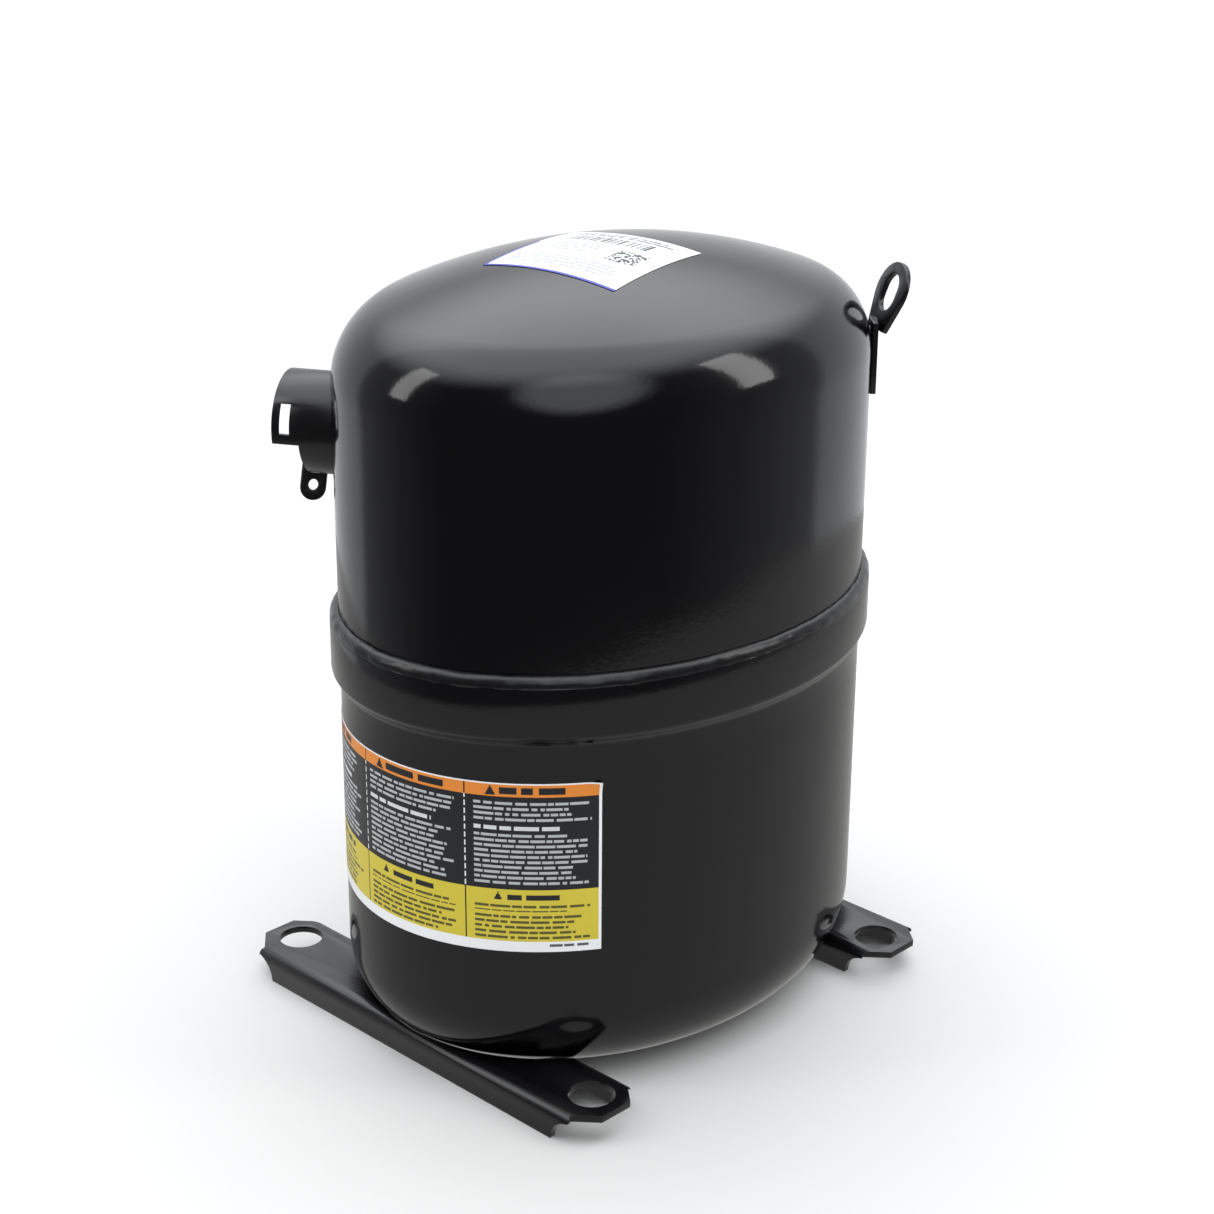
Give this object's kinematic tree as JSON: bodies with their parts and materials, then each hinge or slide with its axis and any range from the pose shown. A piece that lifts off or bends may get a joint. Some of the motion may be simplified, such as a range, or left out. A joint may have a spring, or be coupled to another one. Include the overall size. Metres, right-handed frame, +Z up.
{
  "type": "hermetic compressor",
  "caption": "Welded oval steel can on foot rails, with a terminal fence, a lifting lug and tube stubs outside, and a vertical motor driving reed-valved pistons inside.",
  "frame": {"origin": "centre of the four mounting holes, on the underside of the foot rails' plates, where their grommets bear", "axes": "+Z up along the shaft, X along the foot rails, Y along the can's long axis, with the rear rail and the tube stubs towards +Y"},
  "size_m": [0.2274, 0.2921, 0.3434],
  "materials": {
    "enamelled_steel": "gloss black enamel over drawn steel",
    "rail_steel": "semi-gloss black enamel over pressed steel",
    "bare_steel": "machined",
    "plated_pins": "plated",
    "sealing_glass": "fused glass",
    "copper_tube": "drawn copper",
    "label_film": "printed white film",
    "caution_film": "printed film",
    "grey_iron": "cast",
    "lamination_steel": "stamped and stacked",
    "winding_copper": "enamelled wire, varnished",
    "liner_film": "polyester film",
    "moulded_cap": "moulded",
    "gasket_fibre": "pressed fibre",
    "cast_aluminium": "cast and machined"
  },
  "bodies": {
    "can": {"upper_shell": "enamelled_steel", "lower_shell": "enamelled_steel", "girth_weld": "enamelled_steel", "front_foot_rail": "rail_steel", "rear_foot_rail": "rail_steel", "lifting_lug": "rail_steel", "terminal_fence": "enamelled_steel", "ground_strap": "rail_steel", "terminal_cup": "bare_steel", "terminal_pins": "plated_pins", "terminal_glass": "sealing_glass", "suction_stub": "copper_tube", "discharge_stub": "copper_tube", "process_tube": "copper_tube", "data_label": "label_film", "caution_label": "caution_film", "spring_cups": "bare_steel", "suspension_springs": "bare_steel", "cylinder_block": "grey_iron", "lower_bearing_plate": "grey_iron", "lower_bearing_bolts": "bare_steel", "stator_core": "lamination_steel", "stator_windings": "winding_copper", "slot_liners": "liner_film", "stator_bolts": "bare_steel", "motor_cap": "moulded_cap", "overload_protector": "moulded_cap", "head_gasket": "gasket_fibre", "suction_reeds": "bare_steel", "valve_plate": "bare_steel", "discharge_reeds": "bare_steel", "reed_stops": "bare_steel", "cylinder_head": "grey_iron", "head_bolts": "bare_steel", "discharge_muffler": "bare_steel", "discharge_loop": "copper_tube"},
    "shaft": {"crankshaft": "bare_steel", "rotor_core": "lamination_steel", "rotor_end_rings": "cast_aluminium", "counterweight": "grey_iron", "oil_pickup": "bare_steel"},
    "lower_rod": {"lower_rod": "cast_aluminium", "lower_wrist_pin": "bare_steel"},
    "upper_rod": {"upper_rod": "cast_aluminium", "upper_wrist_pin": "bare_steel"},
    "lower_piston": {"lower_piston": "cast_aluminium", "lower_piston_ring": "grey_iron"},
    "upper_piston": {"upper_piston": "cast_aluminium", "upper_piston_ring": "grey_iron"}
  },
  "joints": [
    {"name": "shaft_spin", "type": "hinge", "parent": "can", "child": "shaft", "pos_m": [0.005, -0.015, 0.1], "axis": [0, 0, 1], "continuous": true},
    {"name": "lower_rod_pivot", "type": "hinge", "parent": "shaft", "child": "lower_rod", "pos_m": [0.005, -0.005, 0.05], "axis": [0, 0, 1], "continuous": true},
    {"name": "upper_rod_pivot", "type": "hinge", "parent": "shaft", "child": "upper_rod", "pos_m": [0.005, -0.025, 0.102], "axis": [0, 0, 1], "continuous": true},
    {"name": "lower_piston_stroke", "type": "slide", "parent": "can", "child": "lower_piston", "axis": [0, 1, 0], "range_m": [-0.02, 0]},
    {"name": "upper_piston_stroke", "type": "slide", "parent": "can", "child": "upper_piston", "axis": [0, 1, 0], "range_m": [0, 0.02]}
  ],
  "couplings": [
    {"joint": "lower_rod_pivot", "follows": "shaft_spin", "ratio": -1},
    {"joint": "upper_rod_pivot", "follows": "shaft_spin", "ratio": -1}
  ]
}
